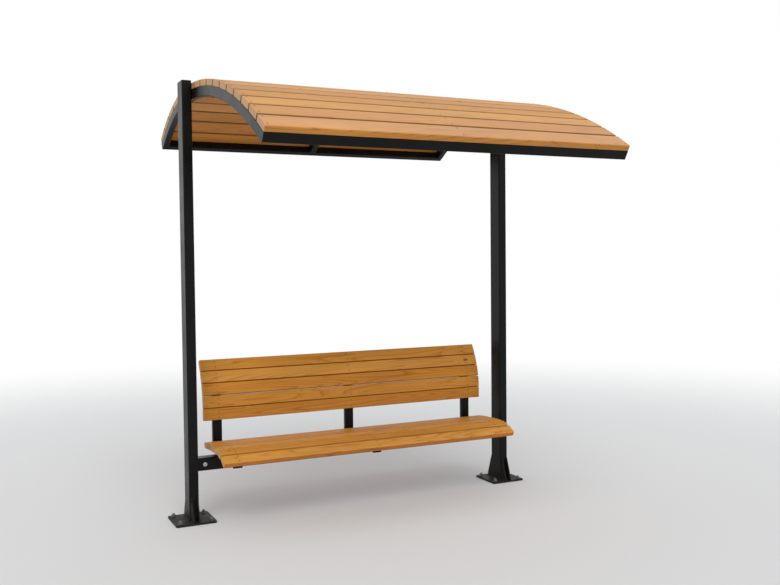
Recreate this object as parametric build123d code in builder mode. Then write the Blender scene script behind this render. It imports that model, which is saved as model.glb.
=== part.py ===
"""Garden pergola with a bench: two posts, an arched slatted roof, a curved slatted bench."""
import math
import os

from build123d import *

os.makedirs("parts", exist_ok=True)

# Posts: rectangular tube, deeper than wide; X runs along the bench, Y to the back, Z up
post_width = 60.0
post_depth = 120.0
post_wall = 4.0
post_round = 8.0
post_spacing = 2250.0
post_top = 2700.0
cap_thick = 4.0
cap_plug_depth = 20.0
cap_play = 0.5

# Feet: bolted base plate with two gussets to the front of the post and two to its rear
plate_size = 250.0
plate_thick = 12.0
plate_corner = 12.0
anchor_spacing = 190.0
anchor_hole_r = 8.0
gusset_thick = 8.0
gusset_height = 165.0
gusset_top_reach = 10.0
gusset_low_reach = 60.0
gusset_toe = 12.0

# Roof: one line of support made of two arcs that meet level at the crown
roof_slat_count = 17
roof_slat_thick = 36.0
roof_slat_gap = 11.0
roof_crown_y = 60.0
roof_crown_drop = 13.0
roof_front_radius = 2764.0
roof_rear_radius = 1394.0
roof_front_turn = 32.7
roof_rear_turn = 33.5
roof_slat_play = 2.0
rib_width = 40.0
rib_depth = 60.0
rib_round = 5.0
eave_beam_width = 40.0
eave_beam_depth = 55.0
eave_beam_round = 5.0

# Bench: slats laid square to a curved line of support
slat_length = 2030.0
slat_width = 70.0
slat_thick = 36.0
slat_round = 6.0
seat_peak_y = -140.0
seat_peak_z = 471.0
seat_radius = 2200.0
seat_rear_y = 99.0
seat_flat_slats = 4
seat_pitch = 76.0
nose_start_y = -186.0
nose_radius = 275.0
nose_slopes = (13.0, 29.0)
lip_length = 14.0
back_slat_count = 5
back_pitch = 76.0
back_rear_y = 133.0
back_low_z = 596.0
back_bend_z = 650.0
back_radius = 564.0

# Brackets carry the bench slats and stand on the beam between the posts
bracket_width = 60.0
bracket_depth = 30.0
bracket_inset = 95.0
bracket_round = 4.0
saddle_overlap = 8.0
heel_inner_r = 22.0
beam_size = 80.0
beam_wall = 4.0
beam_round = 8.0
beam_top = 390.0

# Values that follow from the ones above
post_half = post_width / 2
post_face = post_depth / 2
inner_left = post_half
inner_right = post_spacing - post_half
mid_x = post_spacing / 2
roof_support_z = post_top - roof_crown_drop - roof_slat_thick
seat_support_z = seat_peak_z - slat_thick
seat_centre_z = seat_support_z - seat_radius
slat_start = mid_x - slat_length / 2


def section_plane(line, along, start_x):
    """Plane across a slat: on the support line, X down its slope, Z along the bench."""
    spot = line.position_at(along, position_mode=PositionMode.LENGTH)
    slope = line.tangent_at(along, position_mode=PositionMode.LENGTH)
    return Plane(origin=(start_x, spot.Y, spot.Z), x_dir=slope, z_dir=(1, 0, 0))


# Line that carries the roof slats, from the front foot over the crown to the rear foot
with BuildLine(Plane.YZ) as roof_line:
    CenterArc(
        (roof_crown_y, roof_support_z - roof_front_radius),
        roof_front_radius,
        90 + roof_front_turn,
        -roof_front_turn,
    )
    CenterArc(
        (roof_crown_y, roof_support_z - roof_rear_radius),
        roof_rear_radius,
        90,
        -roof_rear_turn,
    )
roof_wire = roof_line.wire()
roof_pitch = roof_wire.length / roof_slat_count
roof_slat_width = roof_pitch - roof_slat_gap
eave_inner = roof_slat_width / 2 - eave_beam_width
first_slat = roof_pitch / 2
last_slat = roof_wire.length - roof_pitch / 2

# Posts
with BuildPart() as left_post:
    with BuildSketch(Plane.XY.offset(plate_thick)):
        RectangleRounded(post_width, post_depth, post_round)
        Rectangle(post_width - 2 * post_wall, post_depth - 2 * post_wall, mode=Mode.SUBTRACT)
    extrude(amount=post_top - cap_thick - plate_thick)
left_post.part.label = "left_post"
export_step(left_post.part, "parts/left_post.step")

with BuildPart() as right_post:
    add(left_post.part.moved(Location((post_spacing, 0, 0))))
right_post.part.label = "right_post"
export_step(right_post.part, "parts/right_post.step")

# Caps: a thin lid with a plug that drops into the tube
plug_width = post_width - 2 * post_wall - 2 * cap_play
plug_depth = post_depth - 2 * post_wall - 2 * cap_play
with BuildPart() as left_post_cap:
    with BuildSketch(Plane.XY.offset(post_top - cap_thick)):
        RectangleRounded(post_width, post_depth, post_round)
    extrude(amount=cap_thick)
    fillet(left_post_cap.faces().sort_by(Axis.Z)[-1].edges(), cap_thick / 2)
    with BuildSketch(Plane.XY.offset(post_top - cap_thick)):
        Rectangle(plug_width, plug_depth)
    extrude(amount=-cap_plug_depth)
left_post_cap.part.label = "left_post_cap"
export_step(left_post_cap.part, "parts/left_post_cap.step")

with BuildPart() as right_post_cap:
    add(left_post_cap.part.moved(Location((post_spacing, 0, 0))))
right_post_cap.part.label = "right_post_cap"
export_step(right_post_cap.part, "parts/right_post_cap.step")

# Gussets: two tapered plates that stand on the base plate against the front of the post
with BuildPart() as gusset_pair:
    for gusset_x in (post_round - post_half, post_half - post_round - gusset_thick):
        with BuildSketch(Plane.YZ.offset(gusset_x)):
            with BuildLine():
                Polyline(
                    (-post_face, 0),
                    (-post_face - gusset_low_reach, 0),
                    (-post_face - gusset_low_reach, plate_thick + gusset_toe),
                    (-post_face - gusset_top_reach, gusset_height),
                    (-post_face, gusset_height),
                    close=True,
                )
            make_face()
        extrude(amount=gusset_thick)

# Feet: drilled plate with the gussets welded on around the post
with BuildPart() as left_foot:
    with BuildSketch():
        RectangleRounded(plate_size, plate_size, plate_corner)
        with GridLocations(anchor_spacing, anchor_spacing, 2, 2):
            Circle(anchor_hole_r, mode=Mode.SUBTRACT)
    extrude(amount=plate_thick)
    with PolarLocations(0, 2):
        add(gusset_pair.part)
left_foot.part.label = "left_foot"
export_step(left_foot.part, "parts/left_foot.step")

with BuildPart() as right_foot:
    add(left_foot.part.moved(Location((post_spacing, 0, 0))))
right_foot.part.label = "right_foot"
export_step(right_foot.part, "parts/right_foot.step")

# Eave beams: square to the lowest slat at each end, their tops flush with its underside
front_eave_plane = section_plane(roof_wire, first_slat, inner_left)
with BuildPart() as front_eave_beam:
    with BuildSketch(front_eave_plane) as front_eave_section:
        with Locations((-roof_slat_width / 2, 0)):
            Rectangle(eave_beam_width, eave_beam_depth, align=(Align.MIN, Align.MAX))
        fillet(front_eave_section.vertices(), eave_beam_round)
    extrude(amount=inner_right - inner_left)
front_eave_beam.part.label = "front_eave_beam"
export_step(front_eave_beam.part, "parts/front_eave_beam.step")

rear_eave_plane = section_plane(roof_wire, last_slat, inner_left)
with BuildPart() as rear_eave_beam:
    with BuildSketch(rear_eave_plane) as rear_eave_section:
        with Locations((roof_slat_width / 2, 0)):
            Rectangle(eave_beam_width, eave_beam_depth, align=(Align.MAX, Align.MAX))
        fillet(rear_eave_section.vertices(), eave_beam_round)
    extrude(amount=inner_right - inner_left)
rear_eave_beam.part.label = "rear_eave_beam"
export_step(rear_eave_beam.part, "parts/rear_eave_beam.step")

# Ribs: tube bent along the support line, both ends cut square to the eave beams
front_cut = Plane(
    origin=front_eave_plane.from_local_coords((-eave_inner, 0, 0)),
    z_dir=front_eave_plane.x_dir,
)
rear_cut = Plane(
    origin=rear_eave_plane.from_local_coords((eave_inner, 0, 0)),
    z_dir=-rear_eave_plane.x_dir,
)
rib_places = {
    "left_rib": inner_left,
    "middle_rib": mid_x - rib_width / 2,
    "right_rib": inner_right - rib_width,
}
for rib_name, rib_x in rib_places.items():
    with BuildPart() as rib:
        with BuildLine(Plane.YZ.offset(rib_x + rib_width / 2)) as rib_line:
            CenterArc(
                (roof_crown_y, roof_support_z - roof_front_radius),
                roof_front_radius,
                90 + roof_front_turn,
                -roof_front_turn,
            )
            CenterArc(
                (roof_crown_y, roof_support_z - roof_rear_radius),
                roof_rear_radius,
                90,
                -roof_rear_turn,
            )
        rib_start = Plane(origin=rib_line.wire() @ 0, x_dir=(1, 0, 0), z_dir=rib_line.wire() % 0)
        with BuildSketch(rib_start) as rib_section:
            Rectangle(rib_width, rib_depth, align=(Align.CENTER, Align.MIN))
            fillet(rib_section.vertices(), rib_round)
        sweep(path=rib_line.wire())
        split(bisect_by=front_cut, keep=Keep.TOP)
        split(bisect_by=rear_cut, keep=Keep.TOP)
    rib.part.label = rib_name
    export_step(rib.part, f"parts/{rib_name}.step")

# Roof slats: one board tangent to the ribs at each step of arc length
for number in range(roof_slat_count):
    slat_name = f"roof_slat_{number + 1:02d}"
    slat_plane = section_plane(roof_wire, first_slat + number * roof_pitch, inner_left + roof_slat_play)
    with BuildPart() as roof_slat:
        with BuildSketch(slat_plane) as roof_slat_section:
            Rectangle(roof_slat_width, roof_slat_thick, align=(Align.CENTER, Align.MIN))
            fillet(roof_slat_section.vertices(), slat_round)
        extrude(amount=inner_right - inner_left - 2 * roof_slat_play)
    roof_slat.part.label = slat_name
    export_step(roof_slat.part, f"parts/{slat_name}.step")

# Beam between the posts that carries the bench
with BuildPart() as seat_beam:
    with BuildSketch(Plane.YZ.offset(inner_left)):
        with Locations((0, beam_top - beam_size / 2)):
            RectangleRounded(beam_size, beam_size, beam_round)
            Rectangle(beam_size - 2 * beam_wall, beam_size - 2 * beam_wall, mode=Mode.SUBTRACT)
    extrude(amount=inner_right - inner_left)
seat_beam.part.label = "seat_beam"
export_step(seat_beam.part, "parts/seat_beam.step")

# Line that carries the seat slats: from the rear edge over a wide arc to a tight nose
nose_slope = math.degrees(math.asin((seat_peak_y - nose_start_y) / seat_radius))
nose_turn = nose_slopes[-1] - nose_slope
seat_rear_slope = math.degrees(math.asin((seat_rear_y - seat_peak_y) / seat_radius))
with BuildLine(Plane.YZ) as seat_line:
    seat_arc = CenterArc(
        (seat_peak_y, seat_centre_z),
        seat_radius,
        90 - seat_rear_slope,
        seat_rear_slope + nose_slope,
    )
    JernArc(seat_arc @ 1, seat_arc % 1, nose_radius, nose_turn)
seat_wire = seat_line.wire()
seat_stations = [slat_width / 2 + number * seat_pitch for number in range(seat_flat_slats)]
for slope in nose_slopes:
    seat_stations.append(seat_arc.length + nose_radius * math.radians(slope - nose_slope))

# Line that carries the back slats: upright, then leaning away
back_length = slat_width + (back_slat_count - 1) * back_pitch
back_turn = math.degrees((back_length - (back_bend_z - back_low_z)) / back_radius)
with BuildLine(Plane.YZ) as back_line:
    back_rise = Line((back_rear_y, back_low_z), (back_rear_y, back_bend_z))
    JernArc(back_rise @ 1, back_rise % 1, back_radius, -back_turn)
back_wire = back_line.wire()
back_stations = [slat_width / 2 + number * back_pitch for number in range(back_slat_count)]

# Brackets: one bar bent along both lines, with a saddle that stands on the beam
heel_reach = back_rear_y - heel_inner_r - seat_peak_y
heel_slope = math.degrees(math.asin(heel_reach / (seat_radius + heel_inner_r)))
bracket_places = {
    "left_bench_bracket": slat_start + bracket_inset,
    "middle_bench_bracket": mid_x,
    "right_bench_bracket": slat_start + slat_length - bracket_inset,
}
for bracket_name, bracket_x in bracket_places.items():
    with BuildPart() as bracket:
        with BuildSketch(Plane.YZ.offset(bracket_x)) as bracket_side:
            with BuildLine():
                seat_run = CenterArc(
                    (seat_peak_y, seat_centre_z),
                    seat_radius,
                    90 + nose_slope,
                    -nose_slope - heel_slope,
                )
                heel = JernArc(seat_run @ 1, seat_run % 1, heel_inner_r, 90 + heel_slope)
                rise = Line(heel @ 1, (back_rear_y, back_bend_z))
                JernArc(rise @ 1, rise % 1, back_radius, -back_turn)
                nose = JernArc(seat_run @ 0, -1 * (seat_run % 0), nose_radius, nose_turn)
                Line(nose @ 1, nose @ 1 + lip_length * (nose % 1))
                offset(amount=bracket_depth, side=Side.RIGHT)
            make_face()
        extrude(amount=bracket_width / 2, both=True)
        for side_x in (bracket_x - bracket_width / 2, bracket_x + bracket_width / 2):
            fillet(bracket.edges().filter_by_position(Axis.X, side_x, side_x), bracket_round)
        with BuildSketch(Plane.XY.offset(beam_top)):
            with Locations((bracket_x, 0)):
                Rectangle(bracket_width - 2 * bracket_round, beam_size)
        extrude(amount=bracket_depth / 2 + saddle_overlap)
    bracket.part.label = bracket_name
    export_step(bracket.part, f"parts/{bracket_name}.step")

# Seat slats, from the rear edge forward and down over the nose
for number, station in enumerate(seat_stations):
    slat_name = f"seat_slat_{number + 1}"
    with BuildPart() as seat_slat:
        with BuildSketch(section_plane(seat_wire, station, slat_start)) as seat_slat_section:
            Rectangle(slat_width, slat_thick, align=(Align.CENTER, Align.MAX))
            fillet(seat_slat_section.vertices(), slat_round)
        extrude(amount=slat_length)
    seat_slat.part.label = slat_name
    export_step(seat_slat.part, f"parts/{slat_name}.step")

# Back slats, from the lowest upward
for number, station in enumerate(back_stations):
    slat_name = f"back_slat_{number + 1}"
    with BuildPart() as back_slat:
        with BuildSketch(section_plane(back_wire, station, slat_start)) as back_slat_section:
            Rectangle(slat_width, slat_thick, align=(Align.CENTER, Align.MIN))
            fillet(back_slat_section.vertices(), slat_round)
        extrude(amount=slat_length)
    back_slat.part.label = slat_name
    export_step(back_slat.part, f"parts/{slat_name}.step")
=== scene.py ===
# %% [markdown]
# # A pergola with a bench, dressed in Blender
#
# The real object is a steel frame that carries pine boards: an arched roof above and a curved
# bench below, both between the same two posts. The CAD model already holds every board, tube and
# plate at its true size. This lesson loads it as a fixed frame, gives each material its grain,
# gloss and dirt, paints shade and a highlight onto the boards, and adds what holds the pieces
# together: screws, bolts and weld beads.

import math

import bpy
from mathutils import Matrix, Vector


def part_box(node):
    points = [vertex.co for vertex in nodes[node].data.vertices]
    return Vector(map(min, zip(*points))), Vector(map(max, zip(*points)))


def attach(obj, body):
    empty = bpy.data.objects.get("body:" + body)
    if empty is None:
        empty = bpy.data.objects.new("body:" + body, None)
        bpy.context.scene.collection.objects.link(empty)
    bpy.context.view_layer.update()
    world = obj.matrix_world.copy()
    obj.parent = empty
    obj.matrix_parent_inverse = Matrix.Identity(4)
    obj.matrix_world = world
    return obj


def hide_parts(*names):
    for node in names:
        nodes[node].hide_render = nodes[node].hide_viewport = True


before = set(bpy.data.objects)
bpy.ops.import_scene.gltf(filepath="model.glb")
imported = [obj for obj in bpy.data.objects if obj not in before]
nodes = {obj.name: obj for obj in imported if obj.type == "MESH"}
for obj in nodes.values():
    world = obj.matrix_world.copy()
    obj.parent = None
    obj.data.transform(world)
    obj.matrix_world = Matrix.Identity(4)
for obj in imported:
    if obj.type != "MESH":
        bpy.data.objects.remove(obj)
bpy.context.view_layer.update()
print("CAD nodes:", len(nodes))

# %% [markdown]
# ## Sizes
#
# What this lesson adds has to sit on the pieces that are there. Their places could be typed in
# again, but then they might disagree with the model, so they are read from the boxes of the CAD
# nodes, in metres. A box doesn't tell how the roof is bent: the radii and turns of its two arcs
# are the CAD model's own numbers.

# %% Sizes of the object
X, Y, Z = 0, 1, 2


def span(node_name, axis):
    """Lowest and highest place of a CAD node along one axis, to a tenth of a millimetre."""
    low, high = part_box(node_name)
    return round(low[axis], 4), round(high[axis], 4)


def middle(node_name, axis):
    return round(sum(span(node_name, axis)) / 2, 4)


POST_HALF = span("left_post", X)[1]          # the left post stands on the origin
POST_FACE = span("left_post", Y)[1]
POST_SPACING = middle("right_post", X)
PLATE_THICK = span("left_post", Z)[0]        # each post stands on the plate of its foot
BOARD_THICK = round(span("back_slat_1", Y)[1] - span("back_slat_1", Y)[0], 4)
RIB_X = [middle(f"{side}_rib", X) for side in ("left", "middle", "right")]
BRACKET_X = [middle(f"{side}_bench_bracket", X) for side in ("left", "middle", "right")]

CROWN_Y, CROWN_Z = 0.060, span("middle_rib", Z)[1]
FRONT_RADIUS, FRONT_TURN = 2.764, math.radians(32.7)
REAR_RADIUS, REAR_TURN = 1.394, math.radians(33.5)
FRONT_ARCH, REAR_ARCH = FRONT_RADIUS * FRONT_TURN, REAR_RADIUS * REAR_TURN
ROOF_BOARDS = sum(name.startswith("roof_slat") for name in nodes)
ROOF_PITCH = (FRONT_ARCH + REAR_ARCH) / ROOF_BOARDS
print("posts", POST_SPACING, "m apart;", ROOF_BOARDS, "roof boards at", round(ROOF_PITCH, 4), "m")

# %% [markdown]
# ## Tools for materials
#
# A colour is easiest to choose as the hex value that a screen shows. Shaders work with linear
# light, so one function turns each hex value into linear numbers. A node could be added by hand
# in five or six lines; one function that adds it, sets it up and links it keeps recipes short and easy
# to read.

# %% Helpers for colours and nodes
MATH, RANGE = "ShaderNodeMath", "ShaderNodeMapRange"    # used most


def linear(hex_value):
    """Linear RGBA of an sRGB hex value."""
    channels = [int(hex_value[i:i + 2], 16) / 255 for i in (1, 3, 5)]
    light = [c / 12.92 if c <= 0.04045 else ((c + 0.055) / 1.055) ** 2.4 for c in channels]
    return (*light, 1.0)


def feed(tree, node, inputs):
    """Gives a node its inputs: values, sockets, or nodes, whose first output is meant.

    A list of nodes feeds a socket that joins them.
    """
    for key, given_input in inputs.items():
        for source in given_input if isinstance(given_input, list) else [given_input]:
            if isinstance(source, bpy.types.Node):
                source = source.outputs[0]
            if isinstance(source, bpy.types.NodeSocket):
                tree.links.new(source, node.inputs[key])
            else:
                node.inputs[key].default_value = source


def put(tree, kind, inputs=None, stops=(), **settings):
    """Adds one node with its settings and inputs; a colour ramp has (place, hex) stops too."""
    node = tree.nodes.new(kind)
    for name, value in settings.items():
        setattr(node, name, value)
    feed(tree, node, inputs or {})
    for _ in stops[2:]:
        node.color_ramp.elements.new(0.5)
    for i, (place, colour) in enumerate(stops):
        node.color_ramp.elements[i].position = place
        node.color_ramp.elements[i].color = linear(colour)
    return node


def new_material(name):
    """A material with an empty tree, its shader and its output."""
    material = bpy.data.materials.new(name)
    material.use_nodes = True
    tree = material.node_tree
    tree.nodes.clear()
    shader = put(tree, "ShaderNodeBsdfPrincipled")
    put(tree, "ShaderNodeOutputMaterial", {"Surface": shader})
    return material, tree, shader


def coats(tree, under, layers):
    """Lays colours over an under colour, one after another; a layer is its share and its colour."""
    for share, over in layers:
        under = put(tree, "ShaderNodeMix", {0: share, 6: under, 7: over}, data_type="RGBA").outputs[2]
    return under


print("mid grey in linear light:", [round(c, 3) for c in linear("#808080")])

# %% [markdown]
# ## The boards: planed pine under a golden glaze
#
# Pine has soft pale early wood and thin dark late wood. A flat-sawn face cuts those rings as long
# flames. One way to draw them is an image of a board; another is a solid pattern, which runs
# through the wood so that faces, edges and end grain agree. The solid pattern is chosen: a noise
# stretched along the board is read as a height, and its contour lines are the rings. Knots are
# small balls of dark wood that push the rings aside.

# %% Knots and rings
KNOT_CELL_PER_M = 7.0            # one possible knot in each 140 mm of wood
KNOT_SHAPE = (0.45, 1.0, 1.0)    # a branch is cut at a slant: a knot is twice as long as wide
NO_KNOT = 0.55                   # this share of the cells has none
KNOT_REACH = 0.30                # a knot bends the rings this far from its heart, in cells
KNOT_PUSH = 0.22
FLAMES_PER_M = (0.45, 9.0, 9.0)  # the noise changes over 2 m along a board, 110 mm across it
RING_SPREAD = 26.0               # contour lines for each unit of the noise, about 8 mm apart


def knots_in(tree, wood):
    """How near the heart of a knot is, from 0 to 1, where a cell of the pattern has a knot."""
    place = put(tree, "ShaderNodeMapping", {"Vector": wood, "Scale": KNOT_SHAPE})
    cells = put(tree, "ShaderNodeTexVoronoi", {
        "Vector": place, "Scale": KNOT_CELL_PER_M, "Randomness": 1.0})
    draw = put(tree, "ShaderNodeSeparateColor", {"Color": cells.outputs["Color"]})
    has_knot = put(tree, MATH, {0: draw, 1: NO_KNOT}, operation="GREATER_THAN")
    near = put(tree, RANGE, {"Value": cells.outputs["Distance"], "From Min": KNOT_REACH, "From Max": 0.0})
    return put(tree, MATH, {0: near, 1: has_knot}, operation="MULTIPLY")


def rings_in(tree, wood, knot):
    """The place between two contour lines, from 0 to 1: each line is the end of a year ring."""
    place = put(tree, "ShaderNodeMapping", {"Vector": wood, "Scale": FLAMES_PER_M})
    height = put(tree, "ShaderNodeTexNoise", {
        "Vector": place, "Scale": 1.0, "Detail": 1.5, "Roughness": 0.4})
    push = put(tree, MATH, {0: knot, 1: 2.0}, operation="POWER")
    height = put(tree, MATH, {0: push, 1: KNOT_PUSH, 2: height}, operation="MULTIPLY_ADD")
    lines = put(tree, MATH, {0: height, 1: RING_SPREAD}, operation="MULTIPLY")
    return put(tree, MATH, {0: lines}, operation="FRACT")


print("knot cells:", round(1000 / KNOT_CELL_PER_M), "mm wide")

# %% [markdown]
# Planed wood shows its fibres as fine streaks, and a glaze that is brushed on pools unevenly, in
# soft patches along the board. Both are noise, stretched along X, and differ only in scale.

# %% Fibres and patches
FIBRE_PER_M = 420.0               # 2 to 3 mm wide: true fibres are finer and wouldn't show
FIBRE_SHAPE = (0.012, 1.0, 1.0)   # a streak runs over 200 mm
PATCHES_PER_M = (1.6, 5.0, 5.0)


def fibres_in(tree, wood):
    place = put(tree, "ShaderNodeMapping", {"Vector": wood, "Scale": FIBRE_SHAPE})
    return put(tree, "ShaderNodeTexNoise", {"Vector": place, "Scale": FIBRE_PER_M, "Detail": 2.0})


def patches_in(tree, wood):
    place = put(tree, "ShaderNodeMapping", {"Vector": wood, "Scale": PATCHES_PER_M})
    return put(tree, "ShaderNodeTexNoise", {"Vector": place, "Scale": 1.0, "Detail": 2.0})


print("fibres:", round(1000 / FIBRE_PER_M, 1), "mm wide")

# %% [markdown]
# Painted shade darkens the joints between the boards. It could be painted on a map for each board,
# but the joints of the roof lie at even steps along its arch, so the material finds them itself:
# it turns a place into a length along the arch, and folds that into the distance to a joint.

# %% Painted shade in the joints of the roof
JOINT_SHADE_COLOUR = "#4A2C16"
SHADE_REACH, SHADE_CORE = 0.014, 0.007    # painted shade in a joint begins and is full at these distances
ROOF_JOINT_SHADE = 0.50                         # how much full painted shade darkens the wood
EAVE_UNSHADED = 0.03                         # an eave is an open edge, with no board beside it: no painted shade


def along_arch(tree, spot):
    """Length along the arch from the front eave to a spot, in metres."""
    at_rear = put(tree, MATH, {0: spot["Y"], 1: CROWN_Y}, operation="GREATER_THAN")
    radius = put(tree, RANGE, {"Value": at_rear, "To Min": FRONT_RADIUS, "To Max": REAR_RADIUS})
    behind = put(tree, MATH, {0: spot["Y"], 1: CROWN_Y}, operation="SUBTRACT")
    above = put(tree, MATH, {0: spot["Z"], 1: CROWN_Z}, operation="SUBTRACT")
    above = put(tree, MATH, {0: above, 1: radius}, operation="ADD")
    turn = put(tree, MATH, {0: behind, 1: above}, operation="ARCTAN2")
    return put(tree, MATH, {0: turn, 1: radius, 2: FRONT_ARCH}, operation="MULTIPLY_ADD")


def roof_joint_shade(tree, place):
    """The share of painted shade at a place on the roof."""
    along = along_arch(tree, put(tree, "ShaderNodeSeparateXYZ", {0: place}).outputs)
    to_joint = put(tree, MATH, {0: along, 1: ROOF_PITCH / 2}, operation="PINGPONG")
    half_arch = (FRONT_ARCH + REAR_ARCH) / 2
    to_eave = put(tree, MATH, {0: along, 1: half_arch}, operation="PINGPONG")
    at_eave = put(tree, MATH, {0: to_eave, 1: EAVE_UNSHADED}, operation="LESS_THAN")
    distance = put(tree, MATH, {0: to_joint, 1: at_eave}, operation="ADD")
    return put(tree, RANGE, {
        "Value": distance, "From Min": SHADE_REACH, "From Max": SHADE_CORE, "To Max": ROOF_JOINT_SHADE})


print("arch:", round(FRONT_ARCH + REAR_ARCH, 3), "m long")

# %% [markdown]
# Each side of a board is coloured in its own way. Sawn ends drank less glaze and stay pale. On the
# lowest board at the front, faces that look forward and up are made paler: a painted highlight. Faces
# that look down are made darker and redder: painted shade. All three depend on the way a face looks,
# which is its normal.

# %% Ends, painted highlight on the eave, painted shade below
def sawn_ends(tree, normal):
    along = put(tree, MATH, {0: normal["X"]}, operation="ABSOLUTE")
    return put(tree, RANGE, {"Value": along, "From Min": 0.6, "From Max": 0.9, "To Max": 0.55})


# Painted highlight: faces that look forward and up, on the lowest front board, are made paler.
def painted_eave_highlight(tree, normal):
    forward = put(tree, RANGE, {
        "Value": normal["Y"], "From Min": -0.40, "From Max": -0.52, "To Min": 0.03, "To Max": 0.40})
    upward = put(tree, RANGE, {"Value": normal["Z"], "From Min": 0.3, "From Max": 0.7})
    return put(tree, MATH, {0: forward, 1: upward}, operation="MULTIPLY")


# Painted shade: faces that look down are made darker, up to the given share.
def painted_underside_shade(tree, normal, underside_shade):
    return put(tree, RANGE, {"Value": normal["Z"], "From Min": -0.15, "From Max": -0.45, "To Max": underside_shade})


front_dip = math.degrees(FRONT_TURN - ROOF_PITCH / 2 / FRONT_RADIUS)
print("the lowest front board dips by", round(front_dip), "degrees")

# %% [markdown]
# The recipe puts these together: rings in the colours of the glaze, then knots and ends over them,
# and on the roof a painted highlight, then light from fibres and patches, then painted shade on the
# faces that look down and in the joints. The glaze is a thin varnish, so its IOR is that of a resin.
# People and rain rub the bench: its glaze is duller than the roof's.

# %% Pine recipe
KNOT_HEART = "#8A5220"
END_GRAIN = "#D6AC82"
# the colour of the painted highlight on the eave
EAVE_HIGHLIGHT_COLOUR = "#EDB68C"
UNDERSIDE_SHADE_KEPT = (0.70, 0.48, 0.50)     # painted shade on faces that look down: the red, green and blue that stay
LOG_SHIFT = (1.37, 0.61, 0.83)    # how far the next log lies in the noise, for a seed of 1
GLAZE_IOR = 1.48


def glazed_pine(name, tones, seed, specular, underside_shade, glow, on_roof):
    """Glazed flat-sawn pine, grain along X, with painted shade below; glow lifts the whole tone."""
    material, tree, shader = new_material(name)
    spot = put(tree, "ShaderNodeTexCoord").outputs
    normal = put(tree, "ShaderNodeSeparateXYZ", {0: spot["Normal"]}).outputs
    log = tuple(seed * shift for shift in LOG_SHIFT)
    wood = put(tree, "ShaderNodeMapping", {"Vector": spot["Object"], "Location": log})
    knot = knots_in(tree, wood)
    rings = rings_in(tree, wood, knot)
    fibres = fibres_in(tree, wood)
    patches = patches_in(tree, wood)

    # the glazed wood, with knots and ends over the rings, and on the roof a painted highlight
    pale, mid, dark = tones
    ring_colour = put(tree, "ShaderNodeValToRGB", {"Fac": rings}, stops=[
        (0.0, pale), (0.45, pale), (0.78, mid), (0.93, dark), (1.0, pale)])
    heart = put(tree, RANGE, {"Value": knot, "From Min": 0.74, "From Max": 0.84})
    layers = [(heart, linear(KNOT_HEART)), (sawn_ends(tree, normal), linear(END_GRAIN))]
    if on_roof:
        layers.insert(0, (painted_eave_highlight(tree, normal), linear(EAVE_HIGHLIGHT_COLOUR)))
    glazed = coats(tree, ring_colour, layers)

    # fibres and patches change how light it is
    fibre_light = put(tree, RANGE, {
        "Value": fibres, "From Min": 0.3, "From Max": 0.7, "To Min": 0.90, "To Max": 1.06})
    patch_light = put(tree, RANGE, {
        "Value": patches, "From Min": 0.3, "From Max": 0.7, "To Min": 0.88 * glow, "To Max": 1.08 * glow})
    light = put(tree, MATH, {0: fibre_light, 1: patch_light}, operation="MULTIPLY")
    lit = put(tree, "ShaderNodeVectorMath", {0: glazed, "Scale": light}, operation="SCALE")

    # painted shade comes last, on faces that look down and in the joints; boards that are made
    # in this lesson carry their painted joint shade as an attribute
    shaded_underside = put(tree, "ShaderNodeVectorMath", {0: lit, 1: UNDERSIDE_SHADE_KEPT}, operation="MULTIPLY")
    if on_roof:
        joint_shading = roof_joint_shade(tree, spot["Object"])
    else:
        joint_shading = put(tree, "ShaderNodeAttribute", attribute_name="joint_dirt").outputs["Fac"]
    shaded_wood = coats(tree, lit, [
        (painted_underside_shade(tree, normal, underside_shade), shaded_underside), (joint_shading, linear(JOINT_SHADE_COLOUR))])

    rough = put(tree, RANGE, {"Value": patches, "To Min": 0.40, "To Max": 0.58})
    relief = put(tree, MATH, {0: rings, 1: fibres}, operation="MULTIPLY")
    bump = put(tree, "ShaderNodeBump", {"Height": relief, "Strength": 0.25, "Distance": 0.0006})
    feed(tree, shader, {
        "Base Color": shaded_wood, "Roughness": rough, "Normal": bump,
        "IOR": GLAZE_IOR, "Specular IOR Level": specular})
    return material


print("glaze: IOR", GLAZE_IOR)

# %% [markdown]
# Neighbouring boards are cut from different logs. One finish for all would look printed, and one
# for each board would be wasteful, so four tones are made, each at its own place in the noise,
# for the roof and for the bench.

# %% Four tones of pine for the roof and for the bench
PINE_TONES = [
    ("#D49441", "#CC8B39", "#BB782F"),
    ("#CE8D3C", "#C58334", "#B36F2A"),
    ("#D99B4A", "#D19140", "#C07E34"),
    ("#D08E3B", "#C78432", "#B57129"),
]
# For each part: its specular level, the strength of its painted shade below, its glow, and whether it is on
# the roof, which brings the painted highlight and the painted joint shade.
WEAR_AND_SHADE = {
    "roof": {"specular": 0.32, "underside_shade": 0.30, "glow": 1.0, "on_roof": True},
    "bench": {"specular": 0.08, "underside_shade": 0.80, "glow": 1.08, "on_roof": False},
}
pines = {}
for part, wear_and_shade in WEAR_AND_SHADE.items():
    pines[part] = [
        glazed_pine(f"pine_golden_glaze_{part}_{i + 1}", tones, seed=3.1 * i + 1.7, **wear_and_shade)
        for i, tones in enumerate(PINE_TONES)
    ]
print("pine finishes:", [pine.name for group in pines.values() for pine in group])

# %% [markdown]
# ## The frame: black powder-coated steel tube
#
# Powder coat is sprayed on dry and baked, which leaves a satin film with a faint orange peel. It is
# not pure black: a very dark grey keeps the form readable. Outdoors it gathers dust, and rain
# throws earth against the lowest part of the posts. The dirt depends on height, so it reads the Z
# of the object's coordinates and is broken up by noise.

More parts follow.
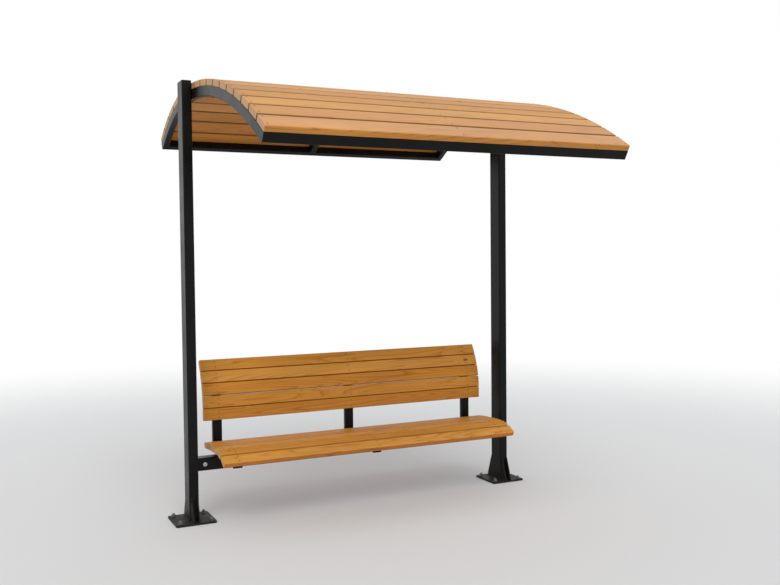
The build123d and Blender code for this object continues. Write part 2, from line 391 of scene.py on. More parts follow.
# %% Steel recipe
DUST_PER_M = 5.0          # dusty areas about 200 mm wide
SPLASH_PER_M = 55.0       # spots of earth about 18 mm wide
SPLASH_TOP = 0.24         # highest splash above the ground
PEEL_PER_M = 260.0        # orange peel, drawn 4 mm wide: the true one is about 1.5 mm
EARTH = "#2B2622"

steel, tree, shader = new_material("powder_coated_steel_black")
place = put(tree, "ShaderNodeTexCoord").outputs["Object"]
dust = put(tree, "ShaderNodeTexNoise", {
    "Vector": place, "Scale": DUST_PER_M, "Detail": 4.0, "Roughness": 0.6})
film = put(tree, "ShaderNodeValToRGB", {"Fac": dust}, stops=[
    (0.35, "#101011"), (0.62, "#151515"), (0.80, "#1C1B1A")])

height = put(tree, "ShaderNodeSeparateXYZ", {0: place}).outputs["Z"]
splash = put(tree, RANGE, {"Value": height, "From Min": SPLASH_TOP, "From Max": 0.0})
drops = put(tree, "ShaderNodeTexNoise", {
    "Vector": place, "Scale": SPLASH_PER_M, "Detail": 5.0, "Roughness": 0.7})
drops = put(tree, MATH, {0: splash, 1: 0.38, 2: drops}, operation="MULTIPLY_ADD")
mud = put(tree, RANGE, {"Value": drops, "From Min": 0.66, "From Max": 0.86, "To Max": 0.75})

satin = put(tree, RANGE, {
    "Value": dust, "From Min": 0.3, "From Max": 0.7, "To Min": 0.24, "To Max": 0.38})
rough = put(tree, MATH, {0: mud, 1: 0.4, 2: satin}, operation="MULTIPLY_ADD")
peel = put(tree, "ShaderNodeTexNoise", {"Vector": place, "Scale": PEEL_PER_M, "Detail": 1.0})
relief = put(tree, MATH, {0: mud, 1: 1.5, 2: peel}, operation="MULTIPLY_ADD")
bump = put(tree, "ShaderNodeBump", {"Height": relief, "Strength": 0.12, "Distance": 0.0006})
feed(tree, shader, {
    "Base Color": coats(tree, film, [(mud, linear(EARTH))]), "Roughness": rough, "Normal": bump,
    "Specular IOR Level": 0.13})
print("steel:", steel.name)

# %% [markdown]
# ## Screws, bolts and anchors: plated steel
#
# Bolts are zinc plated: a thin bluish metal layer, a little cloudy, that dulls in the weather. Wood
# screws are plated too, but then dipped in yellow chromate, so they hide in orange boards. The
# anchors stand in wet dirt, which makes them duller and less metallic. One recipe serves all three.

# %% Plated steel recipe
def plated_steel(name, clouds_per_m, detail, tones, metallic, roughness, duller=0.0):
    """Steel under a cloudy plated layer; duller is how much rougher the clouds make it."""
    material, tree, shader = new_material(name)
    place = put(tree, "ShaderNodeTexCoord").outputs["Object"]
    clouds = put(tree, "ShaderNodeTexNoise", {"Vector": place, "Scale": clouds_per_m, "Detail": detail})
    tone = put(tree, "ShaderNodeValToRGB", {"Fac": clouds}, stops=tones)
    feed(tree, shader, {"Base Color": tone, "Metallic": metallic, "Roughness": roughness})
    if duller:
        rough = put(tree, RANGE, {"Value": clouds, "To Min": roughness, "To Max": roughness + duller})
        feed(tree, shader, {"Roughness": rough})
    return material


zinc = plated_steel(
    "zinc_plated_steel", 180.0, 3.0, [(0.3, "#9C9A92"), (0.7, "#C4C2BA")],
    metallic=1.0, roughness=0.3, duller=0.2)
yellow_zinc = plated_steel(
    "yellow_zinc_plated_steel", 260.0, 2.0, [(0.35, "#8A6A34"), (0.65, "#B18C4C")],
    metallic=1.0, roughness=0.42)
soiled_zinc = plated_steel(
    "weathered_zinc_plated_steel", 140.0, 4.0, [(0.35, "#55514B"), (0.65, "#95928A")],
    metallic=0.75, roughness=0.55)
print("fasteners:", zinc.name, yellow_zinc.name, soiled_zinc.name)

# %% [markdown]
# ## Finish the CAD nodes
#
# The CAD nodes keep their shape and only change their finish, by their material slots. Boards take
# the pine tones in turn, in an order that never puts the same tone on two neighbours. The front
# board of the seat shows most and is the palest.

# %% Give every CAD node its finish
TONE_ORDER = (0, 1, 2, 3, 1, 0, 3, 2)
FRONT_SEAT_BOARD = "seat_slat_6"
PALEST_TONE = 2


def finish_of(node_name):
    """A tone of pine for a board, and black steel for all the rest."""
    if "_slat_" not in node_name:
        return steel
    group = pines["roof" if node_name.startswith("roof") else "bench"]
    if node_name == FRONT_SEAT_BOARD:
        return group[PALEST_TONE]
    turn = int(node_name.split("_")[-1]) + len(node_name)
    return group[TONE_ORDER[turn % len(TONE_ORDER)]]


for node_name, node_object in nodes.items():
    node_object.data.materials.clear()
    node_object.data.materials.append(finish_of(node_name))
print("boards:", sum("_slat_" in node_name for node_name in nodes), "of", len(nodes), "nodes")

# %% [markdown]
# ## Where the screws go
#
# Each board is held where it crosses a rib or a bracket. Those places lie at even steps of length
# along the line of support, so the lesson walks each line: a start point, a heading, and stretches
# that are straight or bent. Places measured off the boards would do too, but a walk also gives the
# way across the board and the way out of it, which the screws need.

# %% Walk a line of support
def walk(start, heading, stretches, distance, side):
    """Spot, slope and way out (Y, Z) after a distance; the way out is left (1) or right (-1)."""
    y, z = start
    for length, radius in stretches:
        step = min(distance, length)
        if radius:
            turned = heading + step / radius
            y += radius * (math.sin(turned) - math.sin(heading))
            z -= radius * (math.cos(turned) - math.cos(heading))
            heading = turned
        else:
            y += step * math.cos(heading)
            z += step * math.sin(heading)
        distance -= step
    slope = Vector((0, math.cos(heading), math.sin(heading)))
    out = Vector((0, -side * slope.z, side * slope.y))
    return Vector((0, y, z)), slope, out


roof_start = (
    CROWN_Y - FRONT_RADIUS * math.sin(FRONT_TURN),
    CROWN_Z - FRONT_RADIUS * (1 - math.cos(FRONT_TURN)),
)
roof_stretches = [(FRONT_ARCH, -FRONT_RADIUS), (REAR_ARCH, -REAR_RADIUS)]
roof_spots = [
    walk(roof_start, FRONT_TURN, roof_stretches, ROOF_PITCH * (k + 0.5), 1)
    for k in range(ROOF_BOARDS)
]
print("roof boards from z", round(roof_spots[0][0].z, 3), "to", round(roof_spots[-1][0].z, 3))

# %% [markdown]
# The seat rises in a shallow arc to its highest line, and the nose bends down tightly with two more
# boards. The back stands upright for half a hand's width and then leans away in an arc.

# %% Walk the seat and the back
SEAT_PEAK_Y, SEAT_PEAK_Z = -0.140, 0.435
SEAT_REAR_Y, NOSE_START_Y = 0.099, -0.186
SEAT_RADIUS, NOSE_RADIUS = 2.200, 0.275
FLAT_SEAT_BOARDS = 4
NOSE_BOARD_DIPS = (13, 29)       # degrees
BACK_UPRIGHT, BACK_RADIUS = 0.054, 0.564
BENCH_PITCH = 0.076
FIRST_BOARD = 0.035              # from the start of a line to the middle of its first board
LONG_ENOUGH = 1.0                # the last stretch of a line runs on past its boards

rear_turn = math.asin((SEAT_REAR_Y - SEAT_PEAK_Y) / SEAT_RADIUS)
nose_turn = math.asin((SEAT_PEAK_Y - NOSE_START_Y) / SEAT_RADIUS)
seat_start = (SEAT_REAR_Y, SEAT_PEAK_Z - SEAT_RADIUS * (1 - math.cos(rear_turn)))
seat_arc = SEAT_RADIUS * (rear_turn + nose_turn)
seat_stretches = [(seat_arc, SEAT_RADIUS), (LONG_ENOUGH, NOSE_RADIUS)]
seat_stations = [FIRST_BOARD + BENCH_PITCH * k for k in range(FLAT_SEAT_BOARDS)]
seat_stations += [seat_arc + NOSE_RADIUS * (math.radians(dip) - nose_turn) for dip in NOSE_BOARD_DIPS]
seat_spots = [walk(seat_start, math.pi - rear_turn, seat_stretches, s, -1) for s in seat_stations]

back_start = (span("back_slat_1", Y)[1], span("back_slat_1", Z)[0])
back_stretches = [(BACK_UPRIGHT, 0), (LONG_ENOUGH, -BACK_RADIUS)]
back_boards = sum(name.startswith("back_slat") for name in nodes)
back_spots = [
    walk(back_start, math.pi / 2, back_stretches, FIRST_BOARD + BENCH_PITCH * k, 1)
    for k in range(back_boards)
]
print("boards to hold:", len(roof_spots), "roof,", len(seat_spots), "seat,", len(back_spots), "back")

# %% [markdown]
# ## Trees of nodes for what repeats
#
# A tree of Geometry Nodes is built here with named inputs. It is run by a modifier on a small mesh
# of points or lines that says where things go. The result is kept as a plain mesh and the modifier
# is dropped, so that the piece can be exported and ride with its body.

# %% Helpers for node groups
def add_object(name, data):
    thing = bpy.data.objects.new(name, data)
    bpy.context.scene.collection.objects.link(thing)
    return thing


def new_group(name, inputs):
    """A node group and the sockets of its inputs; an input has a value, or a kind such as Geometry."""
    tree = bpy.data.node_groups.new(name, "GeometryNodeTree")
    for label, value in inputs.items():
        kind = {int: "Int", float: "Float"}.get(type(value), value)
        socket = tree.interface.new_socket(name=label, in_out="INPUT", socket_type=f"NodeSocket{kind}")
        if kind != value:
            socket.default_value = value
    tree.interface.new_socket(name="Geometry", in_out="OUTPUT", socket_type="NodeSocketGeometry")
    return tree, put(tree, "NodeGroupInput").outputs


def finish_group(tree, shape, finish):
    """Ends a node group with real geometry in its material."""
    real = put(tree, "GeometryNodeRealizeInstances", {"Geometry": shape})
    real = put(tree, "GeometryNodeSetMaterial", {"Geometry": real, "Material": finish})
    put(tree, "NodeGroupOutput", {0: real})


def run_tree(name, mesh, tree, values):
    """Puts a mesh through a node group and returns the result as a plain object."""
    holder = add_object(name + "_points", mesh)
    modifier = holder.modifiers.new("grow", "NODES")
    modifier.node_group = tree
    for item in tree.interface.items_tree:
        if item.in_out == "INPUT" and item.name in values:
            modifier[item.identifier] = values[item.name]
    graph = bpy.context.evaluated_depsgraph_get()
    grown = bpy.data.meshes.new_from_object(holder.evaluated_get(graph))
    holder.modifiers.remove(modifier)
    bpy.data.objects.remove(holder)
    piece = add_object(name, grown)
    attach(piece, "root")
    print(name, len(grown.polygons), "faces")
    return piece


# %% [markdown]
# ## One shape for every screw, nut and washer
#
# All of them are turned or forged from a disc, so one tree can grow each from a circle: fill it,
# raise it, narrow the top for a bevel, and sink a socket. Modelling them one at a time would be
# slower to change. A height of nothing gives no part at all, so a stack can leave one out.

# %% A part grown from a disc
forged, given = new_group("forged_from_disc", {
    "Sides": 12, "Radius": 0.005, "Height": 0.002, "Bevel": 0.15,
    "Socket Radius": 0.0, "Socket Depth": 0.0,
})
up = put(forged, "ShaderNodeCombineXYZ", {"Z": 1.0})
bevel_height = put(forged, MATH, {0: given["Bevel"], 1: given["Height"]}, operation="MULTIPLY")
wall_height = put(forged, MATH, {0: given["Height"], 1: bevel_height}, operation="SUBTRACT")
top_share = put(forged, MATH, {0: 1.0, 1: given["Bevel"]}, operation="SUBTRACT")
disc = put(forged, "GeometryNodeMeshCircle", {
    "Vertices": given["Sides"], "Radius": given["Radius"]}, fill_type="NGON")
wall = put(forged, "GeometryNodeExtrudeMesh", {"Mesh": disc, "Offset": up, "Offset Scale": wall_height})
crown = put(forged, "GeometryNodeExtrudeMesh", {
    "Mesh": wall, "Selection": wall.outputs["Top"], "Offset": up, "Offset Scale": bevel_height})
bevelled = put(forged, "GeometryNodeScaleElements", {
    "Geometry": crown, "Selection": crown.outputs["Top"], "Scale": top_share})
print("disc, wall and bevel:", len(forged.nodes), "nodes")

# %% [markdown]
# The socket is a rim inside the top face, made by an extrusion of no height that is then shrunk,
# and pushed down to its depth. The part is closed by its own disc, turned over. Nuts and washers
# have no socket, so a switch keeps their top whole.

# %% Socket and base of the part
TOUCHING = 0.00001        # points this close are one point

socket_share = put(forged, MATH, {0: given["Socket Radius"], 1: given["Radius"]}, operation="DIVIDE")
downwards = put(forged, MATH, {0: given["Socket Depth"], 1: -1.0}, operation="MULTIPLY")
rim = put(forged, "GeometryNodeExtrudeMesh", {
    "Mesh": bevelled, "Selection": crown.outputs["Top"], "Offset": up, "Offset Scale": 0.0})
shrunk = put(forged, "GeometryNodeScaleElements", {
    "Geometry": rim, "Selection": rim.outputs["Top"], "Scale": socket_share})
pit = put(forged, "GeometryNodeExtrudeMesh", {
    "Mesh": shrunk, "Selection": rim.outputs["Top"], "Offset": up, "Offset Scale": downwards})
has_socket = put(forged, "FunctionNodeCompare", {
    "A": given["Socket Depth"], "B": 0.0}, operation="GREATER_THAN")
top = put(forged, "GeometryNodeSwitch", {
    "Switch": has_socket, "False": bevelled, "True": pit}, input_type="GEOMETRY")
base = put(forged, "GeometryNodeFlipFaces", {"Mesh": disc})
whole = put(forged, "GeometryNodeJoinGeometry", {"Geometry": [top, base]})
whole = put(forged, "GeometryNodeMergeByDistance", {"Geometry": whole, "Distance": TOUCHING})
has_height = put(forged, "FunctionNodeCompare", {
    "A": given["Height"], "B": 0.0}, operation="GREATER_THAN")
result = put(forged, "GeometryNodeSwitch", {"Switch": has_height, "True": whole}, input_type="GEOMETRY")
put(forged, "NodeGroupOutput", {0: result})
print("whole part:", len(forged.nodes), "nodes")

# %% [markdown]
# A tree for each kind of fastener would say the same again, so one outer tree stacks stud,
# washer and head in the sizes that it is given.

# %% Stud, washer and head
fasteners, given = new_group("fasteners_on_points", {
    "Points": "Geometry", "Spread": 0.0, "Sides": 12, "Radius": 0.005, "Height": 0.001, "Bevel": 0.2,
    "Socket Radius": 0.0, "Socket Depth": 0.0, "Washer Radius": 0.0, "Washer Height": 0.0,
    "Stud Radius": 0.0, "Stud Height": 0.0, "Seed": 4, "Finish": "Material",
})
head_inputs = ("Sides", "Radius", "Height", "Bevel", "Socket Radius", "Socket Depth")
head = put(fasteners, "GeometryNodeGroup", {label: given[label] for label in head_inputs}, node_tree=forged)
washer = put(fasteners, "GeometryNodeGroup", {
    "Sides": 20, "Radius": given["Washer Radius"], "Height": given["Washer Height"], "Bevel": 0.1,
}, node_tree=forged)
stud = put(fasteners, "GeometryNodeGroup", {
    "Sides": 12, "Radius": given["Stud Radius"], "Height": given["Stud Height"], "Bevel": 0.12,
}, node_tree=forged)
on_washer = put(fasteners, "ShaderNodeCombineXYZ", {"Z": given["Washer Height"]})
head = put(fasteners, "GeometryNodeSetPosition", {"Geometry": head, "Offset": on_washer})
stack = put(fasteners, "GeometryNodeJoinGeometry", {"Geometry": [head, washer, stud]})
print("stack:", len(fasteners.nodes), "nodes")

# %% [markdown]
# The stack is set on every point of a small cloud. Screws come in pairs across a board: where a
# spread is given, each point is doubled and the two are moved apart. The stack turns to the
# point's own way out. A random spin keeps the heads from looking stamped; its seed is fixed, so
# that every run gives the same picture.

# %% The stack on every point
along = put(fasteners, "GeometryNodeInputNamedAttribute", {"Name": "along"}, data_type="FLOAT_VECTOR")
out = put(fasteners, "GeometryNodeInputNamedAttribute", {"Name": "out"}, data_type="FLOAT_VECTOR")
pair = put(fasteners, "GeometryNodeDuplicateElements", {
    "Geometry": given["Points"], "Amount": 2}, domain="POINT")
side = put(fasteners, MATH, {
    0: pair.outputs["Duplicate Index"], 1: 2.0, 2: -1.0}, operation="MULTIPLY_ADD")
shift = put(fasteners, MATH, {0: side, 1: given["Spread"]}, operation="MULTIPLY")
shift = put(fasteners, "ShaderNodeVectorMath", {0: along, "Scale": shift}, operation="SCALE")
spread = put(fasteners, "GeometryNodeSetPosition", {"Geometry": pair, "Offset": shift})
in_pairs = put(fasteners, "FunctionNodeCompare", {
    "A": given["Spread"], "B": 0.0}, operation="GREATER_THAN")
spots = put(fasteners, "GeometryNodeSwitch", {
    "Switch": in_pairs, "False": given["Points"], "True": spread}, input_type="GEOMETRY")

outwards = put(fasteners, "FunctionNodeAlignRotationToVector", {"Vector": out}, axis="Z")
placed = put(fasteners, "GeometryNodeInstanceOnPoints", {
    "Points": spots, "Instance": stack, "Rotation": outwards})
spin = put(fasteners, "FunctionNodeRandomValue", {
    2: 0.0, 3: math.tau, "Seed": given["Seed"]}, data_type="FLOAT").outputs[1]
spin = put(fasteners, "ShaderNodeCombineXYZ", {"Z": spin})
placed = put(fasteners, "GeometryNodeRotateInstances", {"Instances": placed, "Rotation": spin})
finish_group(fasteners, placed, given["Finish"])
print("stack on points:", len(fasteners.nodes), "nodes")

# %% [markdown]
# ## Screws in the boards
#
# The photograph is too coarse to show the screws, but boards are held by them, two for each board
# on each rib or bracket. The heads have a small socket and stand a millimetre proud. The cloud
# of points gives each pair its place on the outer face, the way across the board and the way out.

# %% Screws of the roof and the bench
def point_cloud(name, spots):
    """A mesh of loose points; each spot is (place, across, out)."""
    mesh = bpy.data.meshes.new(name)
    mesh.from_pydata([tuple(place) for place, _, _ in spots], [], [])
    for label, values in (("along", [s[1] for s in spots]), ("out", [s[2] for s in spots])):
        layer = mesh.attributes.new(label, "FLOAT_VECTOR", "POINT")
        layer.data.foreach_set("vector", [c for v in values for c in v])
    return mesh


def on_boards(spots, places_x):
    """The spots on the outer face of the boards, at each place along them."""
    top = [(place + out * BOARD_THICK, slope, out) for place, slope, out in spots]
    return [(place + Vector((x, 0, 0)), slope, out) for place, slope, out in top for x in places_x]


SCREW = {"Sides": 12, "Radius": 0.0055, "Height": 0.0012, "Bevel": 0.35, "Socket Radius": 0.0022,
         "Socket Depth": 0.0008, "Finish": yellow_zinc}
ROOF_SCREW = {**SCREW, "Spread": 0.042}
BENCH_SCREW = {**SCREW, "Radius": 0.005, "Spread": 0.019}

roof_cloud = point_cloud("roof_screw_spots", on_boards(roof_spots, RIB_X))
run_tree("roof_screws", roof_cloud, fasteners, ROOF_SCREW)
bench_cloud = point_cloud("bench_screw_spots", on_boards(seat_spots + back_spots, BRACKET_X))
run_tree("bench_screws", bench_cloud, fasteners, BENCH_SCREW)

# %% [markdown]
# ## Boards of the back, with tight joints
#
# Seen from the front, no light comes through the joints of the back, so these five boards are made
# again here, a little wider than in the CAD model, on the same line of support. A bevelled box
# would do, but a curve with eased edges, run along the board, keeps its edge radius as a number
# that can be changed. Its points also keep how near the board's edge they are, as the attribute
# that the pine recipe reads as painted shade in the joints.

# %% Section of a board, with its painted joint shade
boards, given = new_group("eased_board_on_points", {
    "Points": "Geometry", "Length": 2.0, "Width": 0.07, "Thickness": 0.036, "Edge Radius": 0.005,
    "Dirt": 0.36, "Finish": "Material",
})
outline = put(boards, "GeometryNodeCurvePrimitiveQuadrilateral", {
    0: given["Width"], 1: given["Thickness"]})
outline = put(boards, "GeometryNodeFilletCurve", {
    "Curve": outline, "Radius": given["Edge Radius"], "Count": 4}, mode="POLY")
point_place = put(boards, "GeometryNodeInputPosition")
across = put(boards, "ShaderNodeSeparateXYZ", {0: point_place}).outputs["X"]
off_middle = put(boards, MATH, {0: across}, operation="ABSOLUTE")
half_width = put(boards, MATH, {0: given["Width"], 1: 0.5}, operation="MULTIPLY")
flat_half = put(boards, MATH, {0: half_width, 1: given["Edge Radius"]}, operation="SUBTRACT")
# painted shade, darker towards the long edges where the boards meet
edge_shade = put(boards, RANGE, {
    "Value": off_middle, "From Min": flat_half, "From Max": half_width, "To Max": given["Dirt"]})
outline = put(boards, "GeometryNodeStoreNamedAttribute", {
    "Geometry": outline, "Name": "joint_dirt", "Value": edge_shade}, data_type="FLOAT", domain="POINT")
section = put(boards, "GeometryNodeFillCurve", {"Curve": outline}, mode="NGONS")
print("section:", len(boards.nodes), "nodes")

# %% [markdown]
# The section is raised to the board's length and closed with a second section, turned over. It is
# drawn standing up, so each board is laid down where its point is: its length along the bench, its
# width along the slope of the line of support.

# %% Board on every point
length_way = put(boards, "ShaderNodeCombineXYZ", {"Z": 1.0})
bar = put(boards, "GeometryNodeExtrudeMesh", {
    "Mesh": section, "Offset": length_way, "Offset Scale": given["Length"]})
near_end = put(boards, "GeometryNodeFlipFaces", {"Mesh": section})
whole = put(boards, "GeometryNodeJoinGeometry", {"Geometry": [bar, near_end]})
whole = put(boards, "GeometryNodeMergeByDistance", {"Geometry": whole, "Distance": TOUCHING})
slope_way = put(boards, "GeometryNodeInputNamedAttribute", {"Name": "along"}, data_type="FLOAT_VECTOR")
bench_way = put(boards, "ShaderNodeCombineXYZ", {"X": 1.0})
lie = put(boards, "FunctionNodeAxesToRotation", {
    "Primary Axis": bench_way, "Secondary Axis": slope_way}, primary_axis="Z", secondary_axis="X")
laid = put(boards, "GeometryNodeInstanceOnPoints", {
    "Points": given["Points"], "Instance": whole, "Rotation": lie})
finish_group(boards, laid, given["Finish"])
print("board:", len(boards.nodes), "nodes")

# %% [markdown]
# Each board stands for one CAD node, takes over its tone of pine, and starts and ends where it
# does. They are five pieces and not one, because a maker would count and replace them one by one.

# %% Lay the boards of the back
BACK_BOARD_WIDTH = 0.0757
bench_start, bench_end = span("back_slat_1", X)
for number, (place, slope, out) in enumerate(back_spots, start=1):
    centre = place + out * BOARD_THICK / 2 + Vector((bench_start, 0, 0))
    spot = point_cloud(f"back_spot_{number}", [(centre, slope, out)])
    tone = nodes[f"back_slat_{number}"].data.materials[0]
    board_sizes = {"Length": bench_end - bench_start, "Width": BACK_BOARD_WIDTH, "Finish": tone}
    board = run_tree(f"back_board_{number}", spot, boards, board_sizes)
    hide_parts(f"back_slat_{number}")

# %% [markdown]
# ## Anchors and beam bolts
#
# The feet stand on four anchors each: a stud that comes out of the ground, a washer and a hexagon
# nut. The beam under the seat shows a bolt head close to each post. They could be modelled apart,
# but the tree for the screws makes them too, with six sides for what a spanner holds.

# %% Nuts and bolts
ANCHOR_HALF_SPACING = 0.095      # from the middle of a foot plate to its bolts
BOLT_TO_POST = 0.077             # from the middle of a post to the bolt in the beam
ANCHOR = {"Sides": 6, "Radius": 0.0125, "Height": 0.011, "Bevel": 0.1, "Washer Radius": 0.014,
          "Washer Height": 0.0025, "Stud Radius": 0.007, "Stud Height": 0.021, "Finish": soiled_zinc}
BEAM_BOLT = {"Sides": 6, "Radius": 0.0105, "Height": 0.0075, "Bevel": 0.12, "Washer Radius": 0.0135,
             "Washer Height": 0.0025, "Finish": zinc}

upwards, sideways, forwards = Vector((0, 0, 1)), Vector((1, 0, 0)), Vector((0, -1, 0))
anchor_spots = [
    (Vector((x + sx * ANCHOR_HALF_SPACING, sy * ANCHOR_HALF_SPACING, PLATE_THICK)), sideways, upwards)
    for x in (0, POST_SPACING) for sx in (-1, 1) for sy in (-1, 1)
]
run_tree("anchor_nuts", point_cloud("anchor_spots", anchor_spots), fasteners, ANCHOR)

beam_front, beam_middle = span("seat_beam", Y)[0], middle("seat_beam", Z)
beam_spots = [
    (Vector((x, beam_front, beam_middle)), sideways, forwards)
    for x in (BOLT_TO_POST, POST_SPACING - BOLT_TO_POST)
]
run_tree("beam_bolts", point_cloud("beam_spots", beam_spots), fasteners, BEAM_BOLT)

# %% [markdown]
# ## Weld beads
#
# Where two pieces of steel meet, a bead of weld fills the corner. Under the paint it still shows as
# a low rounded line with ripples a few millimetres apart. A texture could fake it, but a bead
# changes the outline of the corner, so it is a thin tube along each joint. The joints are loose
# edges, and a node group turns them into curves, adds the ripple and wraps a skin around.

# %% Weld group
welds, given = new_group("weld_bead", {
    "Joints": "Geometry", "Bead Radius": 0.0035, "Ripple Length": 0.005, "Ripple Depth": 0.16,
    "Finish": "Material",
})
line = put(welds, "GeometryNodeMeshToCurve", {"Mesh": given["Joints"]})
half_ripple = put(welds, MATH, {0: given["Ripple Length"], 1: 0.5}, operation="MULTIPLY")
line = put(welds, "GeometryNodeResampleCurve", {"Curve": line, "Length": half_ripple}, mode="LENGTH")
index = put(welds, "GeometryNodeInputIndex")
is_crest = put(welds, MATH, {0: index, 1: 2.0}, operation="MODULO")
swell = put(welds, MATH, {0: is_crest, 1: given["Ripple Depth"], 2: 1.0}, operation="MULTIPLY_ADD")
line = put(welds, "GeometryNodeSetCurveRadius", {"Curve": line, "Radius": swell})
ring = put(welds, "GeometryNodeCurvePrimitiveCircle", {"Resolution": 6, "Radius": given["Bead Radius"]})
skin = put(welds, "GeometryNodeCurveToMesh", {"Curve": line, "Profile Curve": ring, "Fill Caps": True})
finish_group(welds, skin, given["Finish"])
print("weld group:", len(welds.nodes), "nodes")

# %% [markdown]
# A foot is a plate with two gussets before and two behind the post. Each gusset is welded on both
# of its faces, up the post and out along the plate, and the post itself is welded round its sides.
# A bead ends where the rounded corner of a tube begins.

# %% Joints at the feet
TUBE_CORNER = 0.008
GUSSET_FACES = (-0.022, -0.014, 0.014, 0.022)    # both faces of both gussets, from the post's middle
SHORT_OF_TOP = 0.004                             # a bead ends just below the top of its gusset
GUSSET_BEAD_REACH = 0.057                        # along the plate
gusset_bead_top = span("left_foot", Z)[1] - SHORT_OF_TOP
joints = []


def weld(start, end):
    joints.append((Vector(start), Vector(end)))


for x in (0.0, POST_SPACING):
    for side in (-1, 1):
        face, flank = side * POST_FACE, x + side * POST_HALF
        for gusset in GUSSET_FACES:
            corner = (x + gusset, face, PLATE_THICK)
            weld(corner, (x + gusset, face, gusset_bead_top))
            weld(corner, (x + gusset, face + side * GUSSET_BEAD_REACH, PLATE_THICK))
        half_x, half_y = POST_HALF - TUBE_CORNER, POST_FACE - TUBE_CORNER
        weld((x - half_x, face, PLATE_THICK), (x + half_x, face, PLATE_THICK))
        weld((flank, -half_y, PLATE_THICK), (flank, half_y, PLATE_THICK))
print("joints at the feet:", len(joints))

# %% [markdown]
# The seat beam is welded to the posts on its four sides. The bench brackets sit on it on short
# saddles, each with a bead all round.

# %% Joints at the seat beam
SADDLE_HALF_X, SADDLE_HALF_Y = 0.026, 0.036
BEAD_OUT, BEAD_DOWN = 0.001, 0.002    # a bead along the rounded edge of the beam lies a little lower
beam_low, beam_high = span("seat_beam", Z)
beam_half = span("seat_beam", Y)[1]

for x in (POST_HALF, POST_SPACING - POST_HALF):
    for z in (beam_low, beam_high):
        weld((x, -beam_half + TUBE_CORNER, z), (x, beam_half - TUBE_CORNER, z))
    for y in (-beam_half, beam_half):
        weld((x, y, beam_low + TUBE_CORNER), (x, y, beam_high - TUBE_CORNER))
for x in BRACKET_X:
    for side in (-1, 1):
        edge_x = x + side * SADDLE_HALF_X
        weld((edge_x, -SADDLE_HALF_Y, beam_high), (edge_x, SADDLE_HALF_Y, beam_high))
        edge_y, edge_z = side * (SADDLE_HALF_Y + BEAD_OUT), beam_high - BEAD_DOWN
        weld((x - SADDLE_HALF_X, edge_y, edge_z), (x + SADDLE_HALF_X, edge_y, edge_z))
print("joints at the feet and the beam:", len(joints))

# %% [markdown]
# Under the roof the ribs end against the eave beams, which lie square to the lowest board at each
# end. The beads run across below each rib and up its two sides, apart from a side that lies
# against a post. The ribs at the ends are also welded to the top of the posts.

# %% Joints under the roof
RIB_HALF, RIB_DEPTH = 0.020, 0.060
EAVE_WIDTH = 0.040
ROOF_GAP = 0.011                                # between two roof boards
BEAD_BOTTOM, BEAD_TOP = 0.051, 0.006            # depths below the boards
LOW_BEAD_SHARE = 0.8                            # of the rib's width
CLEAR_OF_POST = 0.001
POST_BEAD_HALF, POST_BEAD_DROP = 0.052, 0.001   # the rib still climbs a little there

eave_inner = (ROOF_PITCH - ROOF_GAP) / 2 - EAVE_WIDTH
rib_across = Vector((RIB_HALF, 0, 0))
for (place, slope, out), way in ((roof_spots[0], 1), (roof_spots[-1], -1)):
    inner_edge = place - slope * way * eave_inner
    for x in RIB_X:
        spot = inner_edge + Vector((x, 0, 0))
        low, high = spot - out * BEAD_BOTTOM, spot - out * BEAD_TOP
        weld(low - rib_across * LOW_BEAD_SHARE, low + rib_across * LOW_BEAD_SHARE)
        for side in (-1, 1):
            flank = x + side * RIB_HALF
            if POST_HALF + CLEAR_OF_POST < flank < POST_SPACING - POST_HALF - CLEAR_OF_POST:
                weld(low + rib_across * side, high + rib_across * side)
rib_under = CROWN_Z - RIB_DEPTH
for x in (POST_HALF, POST_SPACING - POST_HALF):
    weld((x, -POST_BEAD_HALF, rib_under - POST_BEAD_DROP), (x, POST_BEAD_HALF, rib_under))

mesh = bpy.data.meshes.new("welded_joints")
joint_ends = [tuple(point) for joint in joints for point in joint]
mesh.from_pydata(joint_ends, [(2 * k, 2 * k + 1) for k in range(len(joints))], [])
run_tree("weld_beads", mesh, welds, {"Finish": steel})
print("welded joints:", len(joints))

# %% [markdown]
# ## Floor
#
# The floor is a pale sheet that catches the shadow. A small sheet would end in a hard line, and a
# white one would hide the shadow, so it is large and fades to plain white further out. The white
# is only what the camera sees, so the fade sends no extra light to the object.

# %% Floor
FLOOR_HALF = 60
FLOOR_MIDDLE = (1.1, 0.0, 0.0)
FADE_START, FADE_END = 3.5, 9.0
PAPER, WHITE = linear("#E9E8E5"), linear("#FFFFFF")

floor_mesh = bpy.data.meshes.new("floor")
corners = [(x * FLOOR_HALF, y * FLOOR_HALF, 0) for x, y in ((-1, -1), (1, -1), (1, 1), (-1, 1))]
floor_mesh.from_pydata(corners, [], [(0, 1, 2, 3)])
floor = add_object("floor", floor_mesh)

paper, tree, shader = new_material("pale_matte_floor")
feed(tree, shader, {"Base Color": PAPER, "Roughness": 0.9})
place = put(tree, "ShaderNodeTexCoord").outputs["Object"]
centred = put(tree, "ShaderNodeVectorMath", {0: place, 1: FLOOR_MIDDLE}, operation="SUBTRACT")
radius = put(tree, "ShaderNodeVectorMath", {0: centred}, operation="LENGTH").outputs["Value"]
fade = put(tree, RANGE, {
    "Value": radius, "From Min": FADE_START, "From Max": FADE_END}, interpolation_type="SMOOTHSTEP")
camera_ray = put(tree, "ShaderNodeLightPath").outputs["Is Camera Ray"]
fade = put(tree, MATH, {0: fade, 1: camera_ray}, operation="MULTIPLY")
white = put(tree, "ShaderNodeEmission", {"Color": WHITE, "Strength": 1.0})
surface = shader.outputs["BSDF"].links[0].to_socket
mixed = put(tree, "ShaderNodeMixShader", {0: fade, 1: shader, 2: white})
tree.links.new(mixed.outputs[0], surface)
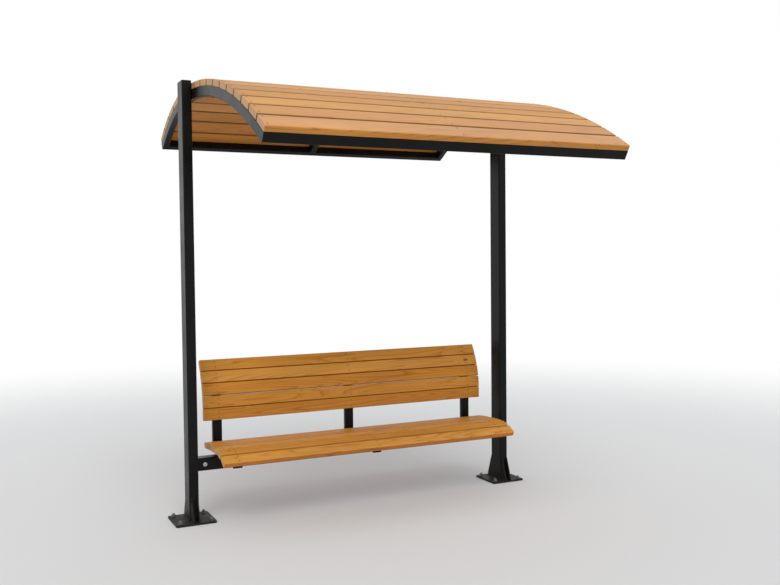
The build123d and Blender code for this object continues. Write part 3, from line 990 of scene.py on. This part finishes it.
floor_mesh.materials.append(paper)
print("floor:", 2 * FLOOR_HALF, "m wide, white from", FADE_END, "m")

# %% [markdown]
# ## Light
#
# The light is that of an overcast day: a bright even sky and a wide, soft lamp from above and in
# front. One lamp alone would leave the underside of the roof black. The sky is white to the camera
# and to reflections, and dimmer as a lamp, so that pale wood doesn't clip.

# %% Sky and lamp
SKY_COLOUR, SKY_STRENGTH = linear("#F4F8FF"), 0.62
LAMP_STRENGTH = 1.25
LAMP_SPREAD = math.radians(50)
LAMP_TURN = (math.radians(38), math.radians(-14), 0)

world = bpy.data.worlds.new("overcast_sky")
bpy.context.scene.world = world
world.use_nodes = True
tree = world.node_tree
tree.nodes.clear()
ray = put(tree, "ShaderNodeLightPath").outputs
seen = put(tree, MATH, {0: ray["Is Camera Ray"], 1: ray["Is Glossy Ray"]}, operation="MAXIMUM")
seen = put(tree, MATH, {0: seen, 1: ray["Is Transmission Ray"]}, operation="MAXIMUM")
sky = put(tree, "ShaderNodeBackground", {"Color": SKY_COLOUR, "Strength": SKY_STRENGTH})
plain = put(tree, "ShaderNodeBackground", {"Color": WHITE, "Strength": 1.0})
mixed = put(tree, "ShaderNodeMixShader", {0: seen, 1: sky, 2: plain})
put(tree, "ShaderNodeOutputWorld", {"Surface": mixed})

lamp_data = bpy.data.lights.new("soft_daylight", "SUN")
lamp_data.energy = LAMP_STRENGTH
lamp_data.angle = LAMP_SPREAD
lamp = add_object("soft_daylight", lamp_data)
lamp.rotation_euler = LAMP_TURN
print("sky", SKY_STRENGTH, "lamp", LAMP_STRENGTH)

# %% [markdown]
# ## Camera
#
# The camera stands at eye level, before and to the left of the pergola, and looks across it. Its
# place and turn were found by fitting the object's sizes to points read off the photograph. It
# could be aimed at a point with a constraint, but then its small roll would be lost, so its three
# axes are written out: ahead, down and right.

# %% Camera
EYE = Vector((-1.3263, -5.5701, 1.6258))
YAW, PITCH, ROLL = (math.radians(a) for a in (64.0920, -2.2825, 0.5572))
FOCAL_PIXELS, IMAGE_WIDTH, SENSOR_MM = 910.22, 780, 36.0

ahead_flat = Vector((math.cos(YAW), math.sin(YAW), 0))
right_flat = Vector((math.sin(YAW), -math.cos(YAW), 0))
ahead = ahead_flat * math.cos(PITCH) + Vector((0, 0, math.sin(PITCH)))
down = ahead_flat * math.sin(PITCH) - Vector((0, 0, math.cos(PITCH)))
right = right_flat * math.cos(ROLL) + down * math.sin(ROLL)
down = down * math.cos(ROLL) - right_flat * math.sin(ROLL)
camera_data = bpy.data.cameras.new("eye_level")
camera_data.sensor_width = SENSOR_MM
camera_data.lens = FOCAL_PIXELS / IMAGE_WIDTH * SENSOR_MM
camera = add_object("eye_level", camera_data)
turn = Matrix((right, -down, -ahead)).transposed()
camera.matrix_world = Matrix.Translation(EYE) @ turn.to_4x4()
bpy.context.scene.camera = camera
bpy.context.scene.view_settings.view_transform = "Standard"
print("lens", round(camera_data.lens, 2), "mm")
